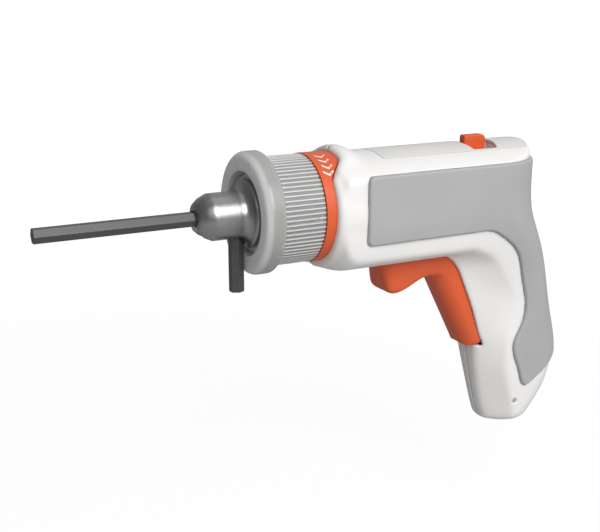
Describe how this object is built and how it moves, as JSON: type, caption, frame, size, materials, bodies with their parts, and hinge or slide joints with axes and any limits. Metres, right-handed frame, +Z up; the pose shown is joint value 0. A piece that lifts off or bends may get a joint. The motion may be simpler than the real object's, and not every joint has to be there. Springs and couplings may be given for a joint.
{
  "type": "electric screwdriver",
  "caption": "Pistol-grip cordless screwdriver with a turning collar and slotted nose that clamp an ordinary bent hex key, a sliding trigger and a direction selector.",
  "frame": {"origin": "centre of the hex key's working tip, on the spindle axis", "axes": "+X back from the tip along the spindle axis, +Y to the tool's right, +Z up"},
  "size_m": [0.2701, 0.0578, 0.1522],
  "materials": {
    "key_steel": "dark oxide, satin",
    "nose_steel": "satin turned",
    "collar_smoke": "smoky translucent moulding",
    "orange_plastic": "semi-gloss moulding",
    "white_plastic": "semi-gloss moulding",
    "soft_grey": "matte soft moulding",
    "strip_grey": "matte",
    "black_plastic": "matte moulding",
    "bronze": "sintered",
    "gear_steel": "machined",
    "gear_nylon": "natural nylon",
    "can_steel": "plated",
    "cell_wrap": "shrink wrap",
    "nickel": "bright",
    "board_green": "lacquered board",
    "clear_pipe": "clear moulding"
  },
  "bodies": {
    "housing": {"left_housing": "white_plastic", "right_housing": "white_plastic", "left_grip_panel": "soft_grey", "right_grip_panel": "soft_grey", "top_strip": "strip_grey", "indicator_ring": "orange_plastic", "direction_switch": "black_plastic", "trigger_switch": "black_plastic", "gearbox_case": "black_plastic", "front_bush": "bronze", "rear_bush": "bronze", "ring_gear": "gear_steel", "motor_plate": "gear_steel", "motor_can": "can_steel", "motor_end_cap": "black_plastic", "battery_cell": "cell_wrap", "battery_leads": "nickel", "charge_board": "board_green", "charge_socket": "nickel", "charge_light": "clear_pipe", "housing_screws": "gear_steel"},
    "trigger": {"trigger": "orange_plastic", "switch_plunger": "black_plastic"},
    "selector": {"direction_selector": "orange_plastic"},
    "collar": {"clamp_collar": "collar_smoke"},
    "output": {"spindle": "gear_steel", "chuck_nose": "nose_steel", "hex_key": "key_steel"},
    "clamp": {"key_jaw": "nose_steel", "clamp_sleeve": "nose_steel"},
    "carrier": {"first_carrier": "gear_steel"},
    "rotor": {"motor_rotor": "can_steel", "motor_shaft": "gear_steel", "motor_pinion": "bronze"},
    "output_planet_a": {"output_planet_a": "gear_steel"},
    "first_planet_a": {"first_planet_a": "gear_nylon"},
    "output_planet_b": {"output_planet_b": "gear_steel"},
    "first_planet_b": {"first_planet_b": "gear_nylon"},
    "output_planet_c": {"output_planet_c": "gear_steel"},
    "first_planet_c": {"first_planet_c": "gear_nylon"}
  },
  "joints": [
    {"name": "trigger_pull", "type": "slide", "parent": "housing", "child": "trigger", "axis": [1, 0, 0], "range_m": [0, 0.005], "stiffness_N_per_m": 600, "springref_m": -0.002},
    {"name": "selector_slide", "type": "slide", "parent": "housing", "child": "selector", "axis": [0, 1, 0], "range_m": [-0.0065, 0.0065]},
    {"name": "collar_turn", "type": "hinge", "parent": "housing", "child": "collar", "pos_m": [0.1, 0, 0], "axis": [1, 0, 0], "range_deg": [0, 60]},
    {"name": "motor_spin", "type": "hinge", "parent": "housing", "child": "rotor", "pos_m": [0.18, 0, 0], "axis": [1, 0, 0], "continuous": true},
    {"name": "carrier_spin", "type": "hinge", "parent": "housing", "child": "carrier", "pos_m": [0.148, 0, 0], "axis": [1, 0, 0], "continuous": true},
    {"name": "spindle_spin", "type": "hinge", "parent": "housing", "child": "output", "pos_m": [0.12, 0, 0], "axis": [1, 0, 0], "continuous": true},
    {"name": "clamp_slide", "type": "slide", "parent": "output", "child": "clamp", "axis": [1, 0, 0], "range_m": [0, 0.002]},
    {"name": "output_planet_a_spin", "type": "hinge", "parent": "output", "child": "output_planet_a", "pos_m": [0.1425, 0, 0.00907], "axis": [1, 0, 0], "continuous": true},
    {"name": "first_planet_a_spin", "type": "hinge", "parent": "carrier", "child": "first_planet_a", "pos_m": [0.1531, 0, 0.00907], "axis": [1, 0, 0], "continuous": true},
    {"name": "output_planet_b_spin", "type": "hinge", "parent": "output", "child": "output_planet_b", "pos_m": [0.1425, 0.00786, -0.00454], "axis": [1, 0, 0], "continuous": true},
    {"name": "first_planet_b_spin", "type": "hinge", "parent": "carrier", "child": "first_planet_b", "pos_m": [0.1531, 0.00786, -0.00454], "axis": [1, 0, 0], "continuous": true},
    {"name": "output_planet_c_spin", "type": "hinge", "parent": "output", "child": "output_planet_c", "pos_m": [0.1425, -0.00786, -0.00454], "axis": [1, 0, 0], "continuous": true},
    {"name": "first_planet_c_spin", "type": "hinge", "parent": "carrier", "child": "first_planet_c", "pos_m": [0.1531, -0.00786, -0.00454], "axis": [1, 0, 0], "continuous": true}
  ],
  "couplings": [
    {"joint": "clamp_slide", "follows": "collar_turn", "m_per_rad": 0.0019099},
    {"joint": "carrier_spin", "follows": "motor_spin", "ratio": 0.13636},
    {"joint": "spindle_spin", "follows": "motor_spin", "ratio": 0.018595},
    {"joint": "output_planet_a_spin", "follows": "motor_spin", "ratio": -0.044163},
    {"joint": "first_planet_a_spin", "follows": "motor_spin", "ratio": -0.32386},
    {"joint": "output_planet_b_spin", "follows": "motor_spin", "ratio": -0.044163},
    {"joint": "first_planet_b_spin", "follows": "motor_spin", "ratio": -0.32386},
    {"joint": "output_planet_c_spin", "follows": "motor_spin", "ratio": -0.044163},
    {"joint": "first_planet_c_spin", "follows": "motor_spin", "ratio": -0.32386}
  ]
}
